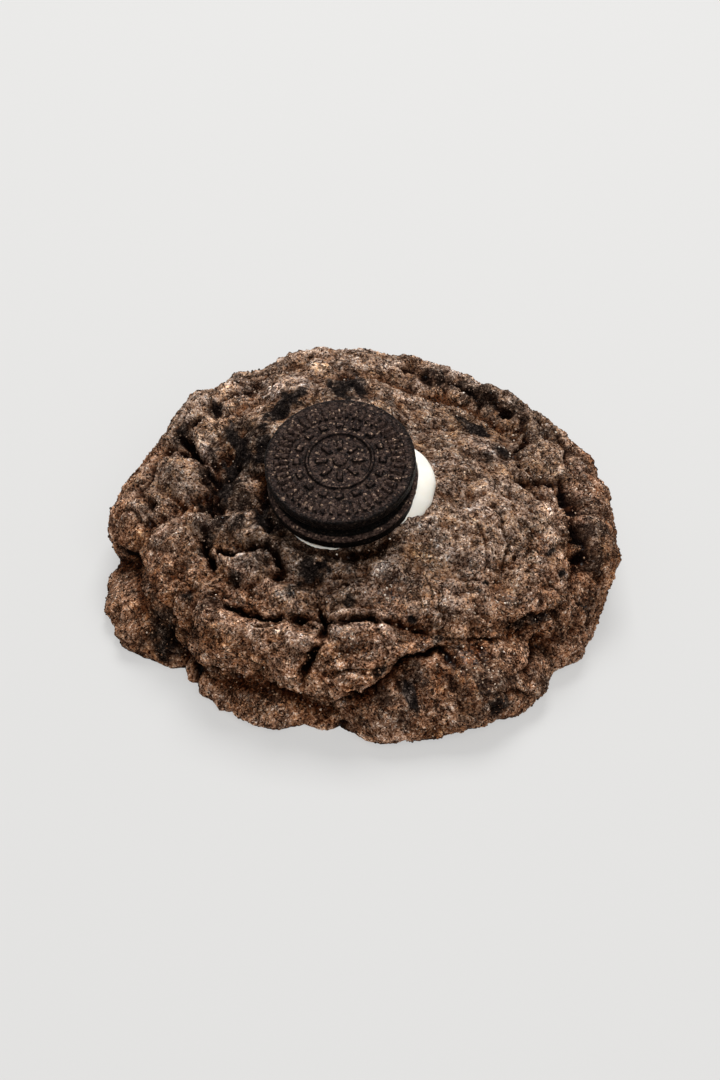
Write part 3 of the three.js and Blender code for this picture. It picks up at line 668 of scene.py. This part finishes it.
def hairlines(tree, where, scale, width, patches):
    """Short, thin, curved lines, 1 along their middles, in patches."""
    off = maths(tree, "ABSOLUTE", maths(tree, "SUBTRACT", noise(tree, where, scale, 2.0, 0.5, 0.8), 0.5))
    line = ramp(tree, off, [(0.0, 1.0), (width, 0.0)])
    here = ramp(tree, noise(tree, where, patches, 2.0), [(0.48, 0.0), (0.56, 1.0)])
    return maths(tree, "MULTIPLY", line, here)


def dough_material():
    made, tree, shader, where = new_material("baked chocolate dough")
    tone, hue, grain_height = grain(tree, where, 3600.0)
    clump, clump_hue, clump_height = grain(tree, where, 1500.0)
    cloud, middling = noise(tree, where, 80.0), noise(tree, where, 190.0)
    swirl, patch = noise(tree, where, 330.0, 5.0, 0.65, 1.6), noise(tree, where, 420.0, 6.0, 0.75)
    dust = noise(tree, where, 6000.0)
    cracklet = maths(tree, "MAXIMUM", hairlines(tree, where, 260.0, 0.05, 170.0),
                     hairlines(tree, where, 900.0, 0.09, 310.0))
    down, low, crack, chunk, dark, dry, gloom, proud, rise, sugar = (
        attribute(tree, name) for name in ("down", "low", "crack", "chunk", "dark", "dry", "gloom",
                                           "proud", "rise", "sugar"))
    # grey-brown on the flat top, redder down the side; each grain has its own tone
    value = weighed(tree, (tone, 0.48), (clump, 0.17), (patch, 1.2), (swirl, 1.3), (dust, 0.7),
                    (1.0, -1.38))
    top = ramp(tree, value, [
        (0.1, (0.016, 0.006, 0.003)), (0.32, (0.095, 0.052, 0.032)), (0.52, (0.24, 0.155, 0.108)),
        (0.8, (0.42, 0.3, 0.22)), (1.0, (0.75, 0.63, 0.52))])
    side = ramp(tree, value, [
        (0.1, (0.012, 0.003, 0.001)), (0.32, (0.085, 0.032, 0.014)), (0.52, (0.225, 0.11, 0.059)),
        (0.8, (0.43, 0.25, 0.155)), (1.0, (0.78, 0.6, 0.46))])
    lowness = ramp(tree, weighed(tree, (low, 1.0), (cloud, 0.4), (1.0, -0.2)), [(0.32, 0.0), (0.52, 1.0)])
    # some grains are more orange, others greyer; broad areas drift; pale areas, partly painted light
    cast = weighed(tree, (hue, 0.25), (clump_hue, 0.15), (cloud, 0.5), (middling, 0.6), (1.0, -0.25))
    cast = ramp(tree, cast, [
        (0.25, (1.28, 0.98, 0.66)), (0.5, (1.05, 1.0, 0.97)), (0.75, (0.9, 1.0, 1.16))])
    drift = ramp(tree, cloud, [(0.35, 0.81), (0.65, 1.3)])
    drier = ramp(tree, dry, [(0.0, (1, 1, 1)), (1.0, (1.7, 1.75, 1.8))])
    colour = tinted(tree, mixed(tree, lowness, top, side), cast, drift, drier)
    # darkened areas: melted chocolate, and painted shade in hollows, under overhangs and round the biscuit
    melted = ramp(tree, value, [
        (0.15, (0.002, 0.001, 0.001)), (0.5, (0.011, 0.007, 0.005)), (0.8, (0.06, 0.039, 0.028)),
        (1.0, (0.28, 0.2, 0.15))])
    colour = mixed(tree, dark, colour, melted)
    # darker at the foot, and black pores
    foot = ramp(tree, down, [(0.78, 1.0), (0.93, 0.85)])
    pores = ramp(tree, noise(tree, where, 1500.0, 3.0), [(0.36, (0.1, 0.04, 0.02)), (0.42, (1, 1, 1))])
    colour = tinted(tree, colour, foot, pores)
    colour = mixed(tree, maths(tree, "MULTIPLY", cracklet, 0.85), colour, (0.012, 0.005, 0.003))
    # painted shade round the cracks, painted highlights on proud edges and painted shade in hollows
    near_crack = ramp(tree, weighed(tree, (gloom, 1.0), (patch, 1.0), (1.0, -0.5)), [
        (0.3, (1, 1, 1)), (1.0, (0.5, 0.38, 0.3))])
    # painted highlight on edges that stand proud, painted shade in the small hollows
    rub = ramp(tree, weighed(tree, (proud, 1.25), (1.0, 0.5)), [
        (0.0, (0.5, 0.38, 0.3)), (0.5, (1, 1, 1)), (1.0, (1.4, 1.45, 1.5))])
    # painted highlight on crests, painted shade in hollows a few millimetres across
    swell = ramp(tree, weighed(tree, (rise, 0.45), (1.0, 0.5)), [
        (0.0, (0.6, 0.5, 0.42)), (0.5, (1, 1, 1)), (1.0, (1.3, 1.33, 1.36))])
    colour = tinted(tree, colour, near_crack, rub, swell)
    # cracks painted near-black by their depth: partly their darker crumb, partly painted shade
    colour = mixed(tree, maths(tree, "MULTIPLY", crack, 1.3, clamp=True), colour, (0.004, 0.0015, 0.001))
    coal = ramp(tree, value, [
        (0.15, (0.002, 0.001, 0.001)), (0.5, (0.01, 0.007, 0.006)), (0.8, (0.035, 0.025, 0.02)),
        (1.0, (0.16, 0.12, 0.1))])
    # grains of melted sugar glint here and there
    glint = weighed(tree, (grain(tree, where, 2600.0)[0], 0.8), (patch, 0.4), (1.0, -0.1))
    glint = ramp(tree, glint, [(0.86, 0.0), (0.92, 0.5)])
    glint = maths(tree, "MULTIPLY", glint, weighed(tree, (chunk, -0.8), (1.0, 1.0)), clamp=True)
    sheen = maths(tree, "MULTIPLY", sugar, ramp(tree, patch, [(0.44, 0.0), (0.6, 0.7)]))
    height = weighed(tree, (grain_height, 0.4), (clump_height, 0.4), (patch, 0.7), (swirl, 1.2),
                     (cracklet, -0.8))
    set_inputs(shader, {
        "Base Color": mixed(tree, chunk, colour, coal), "Roughness": 0.6, "Specular IOR Level": 0.02,
        "Coat Weight": maths(tree, "MAXIMUM", glint, sheen), "Coat Roughness": 0.28,
        "Coat Tint": (1, 0.86, 0.72, 1), "Normal": bumped(tree, height, 1.0, 0.0006)})
    return made


DOUGH = dough_material()
dough.data.materials.append(DOUGH)
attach(dough, "root")
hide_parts("cookie_body")

# ---- the cream
# A dab of smooth sugar cream under the biscuit. The biscuit's weight squeezes it out on the
# right, and a thin smear shows at the front left.
# Each blob of it: its middle, and half its width, length and height.
DOLLOP = [((8.8, -0.6), 9.0, 9.8, 4.3), ((0.0, 3.0), 9.5, 9.5, 4.0), ((-1.8, -5.35), 9.52, 9.52, 0.7)]
DOLLOP_DEPTH = 1.0  # of the blobs' middles below the biscuit
VOXEL, UNDER_BISCUIT = 0.35, 0.05
BLOB_RINGS, BLOB_SIDES = 24, 48


def cream_material():
    made, tree, shader, where = new_material("sugar cream")
    swirl = noise(tree, where, 260.0, 3.0, 0.5)
    set_inputs(shader, {
        "Base Color": ramp(tree, swirl, [(0.3, (0.86, 0.82, 0.725)), (0.7, (0.89, 0.86, 0.785))]),
        "Roughness": 0.45, "Subsurface Weight": 0.3, "Subsurface Radius": (0.0012, 0.001, 0.0008),
        "Normal": bumped(tree, swirl, 0.25, 0.0004)})
    return made


CREAM = cream_material()


def settle(made, material, replaced):
    """Gives a finished piece its material and its place in the frame."""
    made.data.materials.clear()
    made.data.materials.append(material)
    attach(made, "root")
    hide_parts(replaced)


def baked(made, name):
    """The object's evaluated mesh as a plain object with no modifiers."""
    mesh = bpy.data.meshes.new_from_object(made.evaluated_get(bpy.context.evaluated_depsgraph_get()))
    mesh.name = name
    bpy.data.objects.remove(made)
    plain = bpy.data.objects.new(name, mesh)
    bpy.context.collection.objects.link(plain)
    return plain


def turned(profile, counts):
    """Points and triangles of a solid turned about its upright axis: a ring of so many points for
    each radius and height of the profile, which starts and ends with one point on the axis."""
    points = [(radius * cos(2 * pi * i / n), radius * sin(2 * pi * i / n), height)
              for (radius, height), n in zip(profile, counts) for i in range(n)]
    return np.array(points), np.array(stitch(counts))


def in_frame(points):
    """Where points given about the biscuit's own middle lie in the frame, in millimetres."""
    return points @ biscuit_turn.T + np.array(BISCUIT_PLACE + SHIFT)


ball, ball_faces = turned([(sin(t), cos(t)) for t in np.linspace(0, pi, BLOB_RINGS + 1)],
                          [1] + [BLOB_SIDES] * (BLOB_RINGS - 1) + [1])
blobs = [ball * (radius_x, radius_y, half) + (x, y, BISCUIT_BOTTOM - DOLLOP_DEPTH)
         for (x, y), radius_x, radius_y, half in DOLLOP]
dollop = mesh_object("cream_dab", np.concatenate(blobs),
                     np.concatenate([ball_faces + i * len(ball) for i in range(len(blobs))]))
remesh = dollop.modifiers.new("join", "REMESH")
remesh.mode, remesh.voxel_size = "VOXEL", VOXEL * MM
soften = dollop.modifiers.new("soften", "SMOOTH")
soften.factor, soften.iterations = 0.8, 12
dollop = baked(dollop, "cream_dab")
points = np.array([v.co for v in dollop.data.vertices]) / MM
covered = np.hypot(points[:, 0], points[:, 1]) < BISCUIT_RADIUS + 0.1
points[covered, 2] = np.minimum(points[covered, 2], BISCUIT_BOTTOM - UNDER_BISCUIT)
points += wander(points, 2.6, 131, 0.14)
dollop.data.vertices.foreach_set("co", (in_frame(points) * MM).ravel())
dollop.data.shade_smooth()
settle(dollop, CREAM, "cream_dollop")

# ---- the sandwich biscuit
# Two round wafers of black cocoa dough, stamped and baked hard, with a thin round of cream
# between them. The outer face has a dot, a flower of petals, a plain ring, a ring of dots and
# short ridges round the rim.
PETALS, DOTS, RIM_RIDGES = 8, 16, 48
DOT_RADIUS, PETAL_BAND, PLAIN_RING = 1.3, (2.4, 4.6), (5.9, 6.5)
DOT_BAND, RIDGE_BAND = (7.5, 8.7), (9.7, 12.4)
STAMP_DEPTH = 0.5
OUTER_ROUND, INNER_ROUND = 0.45, 0.6
RING_STEP, RIM_POINTS = 0.15, 480


def wafer_points(sign):
    """Points, triangles and tone with painted light and shade of the stamped upper wafer (1) or lower
    (-1).
    """
    stamp = sign == 1
    half, rim = WAFER_THICKNESS / 2, BISCUIT_RADIUS - OUTER_ROUND
    profile = [(0, half)] + [(r, half) for r in np.arange(RING_STEP, rim, RING_STEP)]
    profile += [(rim + OUTER_ROUND * sin(t), half - OUTER_ROUND + OUTER_ROUND * cos(t))
                for t in np.linspace(0, pi / 2, 7)]
    profile += [(BISCUIT_RADIUS, h) for h in np.linspace(half - OUTER_ROUND, -half + INNER_ROUND, 9)[1:]]
    profile += [(BISCUIT_RADIUS - INNER_ROUND * (1 - cos(t)), -half + INNER_ROUND * (1 - sin(t)))
                for t in np.linspace(0, pi / 2, 6)[1:]]
    profile += [(BISCUIT_RADIUS - 0.9, -half), (BISCUIT_RADIUS * 0.6, -half), (0, -half)]
    counts = [RIM_POINTS // (1 if r > 5 else 2 if r > 2.4 else 6) if r else 1 for r, _ in profile]
    points, faces = turned(profile, counts)
    radius, bearing = np.hypot(points[:, 0], points[:, 1]), np.arctan2(points[:, 1], points[:, 0])

    def band(limits, soft):
        inner, outer = limits
        return (smooth_step(inner - soft, inner + soft, radius)
                * smooth_step(outer + soft, outer - soft, radius))

    def bars(number, share):
        return smooth_step(share - 0.35, share + 0.35, np.cos(number * bearing))

    relief = np.max([
        smooth_step(DOT_RADIUS + 0.2, DOT_RADIUS - 0.2, radius),
        band(PETAL_BAND, 0.4) * bars(PETALS, 0.25 * (radius - 2.0)),
        band(PLAIN_RING, 0.3),
        band(DOT_BAND, 0.35) * bars(DOTS, 0.1),
        band(RIDGE_BAND, 0.3) * bars(RIM_RIDGES, 0.0)], axis=0)
    if stamp:
        points[:, 2] -= np.where(points[:, 2] > 0, STAMP_DEPTH * (1 - relief), 0)
    roughen = 0.05 * unevenness(points, 0.5, 141) + 0.06 * unevenness(points, 1.6, 142)
    size = np.maximum(np.linalg.norm(points, axis=-1), 1)
    points += points / size[:, None] * roughen[:, None]
    # the raised pattern is paler; its flanks, the rim and the sides get painted shade, and the lower
    # wafer's inner edge a painted highlight
    on_face = (radius < BISCUIT_RADIUS - 0.3) & (points[:, 2] > 0)
    inner_edge = (radius > BISCUIT_RADIUS - 0.7) & (points[:, 2] < -half + 0.7)
    rolled = 0.3 + 0.7 * smooth_step(BISCUIT_RADIUS - 0.1, BISCUIT_RADIUS - 1.3, radius)
    tone = np.where(on_face, (0.76 - 3.6 * relief * (1 - relief) + 0.26 * relief) * rolled,
                    0.1 if stamp else np.where(inner_edge, 1.2, 0.04))
    return points * (1, 1, sign), faces, tone


def wafer_material():
    made, tree, shader, where = new_material("black cocoa wafer")
    tone, _, height = grain(tree, where, 2800.0)
    cloud = noise(tree, where, 500.0, 4.0, 0.7)
    colour = ramp(tree, tone, [(0.0, (0.006, 0.003, 0.0025)), (0.5, (0.031, 0.018, 0.014)),
                               (0.93, (0.07, 0.044, 0.034)), (1.0, (0.3, 0.2, 0.14))])
    drift = ramp(tree, cloud, [(0.34, 0.55), (0.66, 1.45)])
    # the paler raised pattern with its painted shade and painted highlight
    rub = node(tree, "ShaderNodeMapRange", {"Value": attribute(tree, "raised"), "To Max": 1.25})
    pores = ramp(tree, noise(tree, where, 1500.0, 3.0), [(0.36, 0.15), (0.42, 1.0)])
    set_inputs(shader, {
        "Base Color": tinted(tree, colour, drift, rub.outputs[0], pores), "Roughness": 0.45,
        "Specular IOR Level": 0.06,
        "Normal": bumped(tree, maths(tree, "ADD", height, cloud), 0.8, 0.00025)})
    return made


WAFER = wafer_material()
for name, sign in (("wafer_top", 1), ("wafer_bottom", -1)):
    points, faces, raised = wafer_points(sign)
    if sign < 0:
        faces, points = faces[:, ::-1], points + LOWER_WAFER_SLIP
    points = in_frame(points + (0, 0, sign * WAFER_OFFSET))
    wafer = mesh_object(name + "_baked", points, faces, raised=raised)
    settle(wafer, WAFER, name)

FILLING_SIDES = 96
half = FILLING_THICKNESS / 2 + GAP * 0.8
profile = [(FILLING_RADIUS * k / 6, half) for k in range(6)]
profile += [(FILLING_RADIUS - half * (1 - sin(t)), half * cos(t)) for t in np.linspace(0, pi, 9)]
profile += [(FILLING_RADIUS * k / 6, -half) for k in range(5, -1, -1)]
points, faces = turned(profile, [1] + [FILLING_SIDES] * (len(profile) - 2) + [1])
filling = mesh_object("filling", in_frame(points + wander(points, 3, 151, 0.08)), faces)
settle(filling, CREAM, "cream_filling")

# ---- loose crumbs and sugar on the dough
# Grains of the dough's own crumb stand out of it all over, black biscuit crumbs lie among them,
# and coarse sugar glints in a few places.


def scatter_grains(name, shape, size, per_square_metre, by, spread, seed, material):
    """Grains strewn over the dough by Geometry Nodes, half sunk in it, each with its own tone."""
    group = bpy.data.node_groups.new(name, "GeometryNodeTree")
    enter, leave = ends(group, {"Geometry": "Geometry", "Grain size": "Float", "Density": "Float",
                                "Spread": "Float", "Seed": "Int", "Material": "Material"},
                        {"Geometry": "Geometry"})
    named = enter.outputs
    weight = node(group, "GeometryNodeInputNamedAttribute", {"Name": by}, data_type="FLOAT").outputs[0]
    strewn = node(group, "GeometryNodeDistributePointsOnFaces", {
        "Mesh": named["Geometry"], "Density": maths(group, "MULTIPLY", weight, named["Density"]),
        "Seed": named["Seed"]})
    if shape == "crystal":
        single = node(group, "GeometryNodeMeshCube", {"Size": (1, 1, 1)})
    else:
        single = node(group, "GeometryNodeMeshIcoSphere", {"Radius": 0.6, "Subdivisions": 1})
    turn = node(group, "FunctionNodeRandomValue", {0: (0, 0, 0), 1: (6.3, 6.3, 6.3), "Seed": 7},
                data_type="FLOAT_VECTOR").outputs[0]
    low, high = (maths(group, way, 1.0, named["Spread"]) for way in ("SUBTRACT", "ADD"))
    uneven = node(group, "FunctionNodeRandomValue", {0: low, 1: high, "Seed": 8},
                  data_type="FLOAT_VECTOR").outputs[0]
    scale = vector_maths(group, "SCALE", {0: uneven, "Scale": named["Grain size"]})
    placed = node(group, "GeometryNodeInstanceOnPoints", {
        "Points": strewn.outputs["Points"], "Instance": single.outputs["Mesh"], "Rotation": turn,
        "Scale": scale})
    tone = node(group, "FunctionNodeRandomValue", {"Seed": 9}, data_type="FLOAT").outputs[1]
    toned = node(group, "GeometryNodeStoreNamedAttribute", {
        "Geometry": placed.outputs[0], "Name": "tone", "Value": tone},
        data_type="FLOAT", domain="INSTANCE")
    real = node(group, "GeometryNodeRealizeInstances", {"Geometry": toned.outputs[0]})
    finished = node(group, "GeometryNodeSetMaterial", {
        "Geometry": real.outputs[0], "Material": named["Material"]})
    set_inputs(leave, {"Geometry": finished.outputs[0]})

    host = bpy.data.objects.new(name, dough.data)
    bpy.context.collection.objects.link(host)
    modifier = host.modifiers.new("strew", "NODES")
    modifier.node_group = group
    sockets = {item.name: item.identifier for item in group.interface.items_tree
               if item.in_out == "INPUT"}
    for label, value in (("Grain size", size), ("Density", per_square_metre), ("Spread", spread),
                         ("Seed", seed), ("Material", material)):
        modifier[sockets[label]] = value
    grains = baked(host, name)
    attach(grains, "root")


def grain_material(name, top_stops, side_stops, roughness, specular):
    """Coloured by each grain's own tone, in one way on the dough's top and another down its side."""
    made, tree, shader, where = new_material(name)
    tone = attribute(tree, "tone")
    lowness = ramp(tree, attribute(tree, "low"), [(0.32, 0.0), (0.52, 1.0)])
    colour = mixed(tree, lowness, ramp(tree, tone, top_stops), ramp(tree, tone, side_stops))
    shade = ramp(tree, noise(tree, where, 4000.0, 2.0), [(0.35, 0.6), (0.65, 1.25)])
    set_inputs(shader, {"Base Color": tinted(tree, colour, shade), "Roughness": roughness,
                        "Specular IOR Level": specular})
    return made


# Crumbs stick where the dough is crumbly, few of them in the creases and on the chunks, and
# nothing lies on the foot or under the biscuit.
free = ~in_seat
stuck = (shares < 0.985) * (0.25 + 0.75 * crumbly) * np.where(cut > 0.7, 0.15, 1)
stuck *= free * (1 - 0.8 * chunk)
give(dough.data, "crumb_weight", stuck)
give(dough.data, "black_weight", np.where(stuck > 0, 0.35 + 0.65 * stuck, 0))
give(dough.data, "sugar_weight", np.where((shares < 0.97) & free & (cut < 0.7), 0.012 + 0.7 * sugar, 0))

CRUMB = grain_material(
    "crumb", [(0.0, (0.1, 0.065, 0.046)), (0.7, (0.3, 0.2, 0.145)), (1.0, (0.5, 0.38, 0.29))],
    [(0.0, (0.07, 0.033, 0.019)), (0.7, (0.24, 0.125, 0.072)), (1.0, (0.42, 0.27, 0.17))], 0.8, 0.03)
BLACK = grain_material(
    "black crumb", [(0.0, (0.005, 0.003, 0.002)), (1.0, (0.04, 0.026, 0.018))],
    [(0.0, (0.005, 0.002, 0.001)), (1.0, (0.035, 0.018, 0.01))], 0.7, 0.03)
SUGAR_GRAIN = grain_material(
    "coarse sugar", [(0.0, (0.4, 0.3, 0.22)), (1.0, (0.85, 0.74, 0.62))],
    [(0.0, (0.35, 0.23, 0.15)), (1.0, (0.8, 0.64, 0.5))], 0.35, 0.3)
scatter_grains("crumbs", "lump", 0.3 * MM, 420000.0, "crumb_weight", 0.5, 3, CRUMB)
scatter_grains("black_crumbs", "lump", 0.34 * MM, 260000.0, "black_weight", 0.5, 5, BLACK)
scatter_grains("sugar_grains", "crystal", 0.26 * MM, 900000.0, "sugar_weight", 0.35, 7, SUGAR_GRAIN)

# ---- studio
# A pale matt table under soft light, seen from above the front.
FLOOR_SIZE = 6.0
corners = np.array([(-1, -1, 0), (1, -1, 0), (1, 1, 0), (-1, 1, 0)])
floor = mesh_object("table", corners * FLOOR_SIZE / 2 / MM, [(0, 1, 2, 3)])
FLOOR = bpy.data.materials.new("pale table")
FLOOR.use_nodes = True
set_inputs(FLOOR.node_tree.nodes["Principled BSDF"], {
    "Base Color": (0.2, 0.199, 0.196, 1), "Roughness": 0.9,
    "Emission Color": (1, 0.993, 0.98, 1), "Emission Strength": 0.485})  # lit through from below
floor.data.materials.append(FLOOR)

world = bpy.data.worlds.new("studio")
world.use_nodes = True
set_inputs(world.node_tree.nodes["Background"], {"Color": (1, 1, 1, 1), "Strength": 0.35})
bpy.context.scene.world = world
bpy.context.scene.view_settings.view_transform = "Standard"


def softbox(name, bearing, elevation, distance, size, power):
    """A square area light that faces the cookie from a bearing (0 right, 90 back)."""
    light = bpy.data.lights.new(name, "AREA")
    light.size, light.energy = size, power
    lamp = bpy.data.objects.new(name, light)
    b, e = radians(bearing), radians(elevation)
    lamp.location = Vector((cos(b) * cos(e), sin(b) * cos(e), sin(e))) * distance
    lamp.rotation_euler = lamp.location.to_track_quat("Z", "Y").to_euler()
    bpy.context.collection.objects.link(lamp)


softbox("key", 85, 56, 0.9, 0.45, 8.2)
softbox("fill", -75, 45, 1.0, 0.7, 4.5)

CAMERA_ELEVATION, CAMERA_DISTANCE = radians(40), 0.7
LOOKED_AT = Vector((-0.4, 0, 9.9))
PIXELS_PER_MM, FRAME_HEIGHT, SENSOR = 5.16, 1080, 36.0
camera_data = bpy.data.cameras.new("camera")
camera_data.sensor_width = SENSOR
camera_data.lens = SENSOR * PIXELS_PER_MM * (CAMERA_DISTANCE / MM) / FRAME_HEIGHT
camera = bpy.data.objects.new("camera", camera_data)
target = (LOOKED_AT + Vector((SHIFT.x, SHIFT.y, 0))) * MM
camera.location = target + Vector((0, -cos(CAMERA_ELEVATION), sin(CAMERA_ELEVATION))) * CAMERA_DISTANCE
camera.rotation_euler = (pi / 2 - CAMERA_ELEVATION, 0, 0)
bpy.context.collection.objects.link(camera)
bpy.context.scene.camera = camera
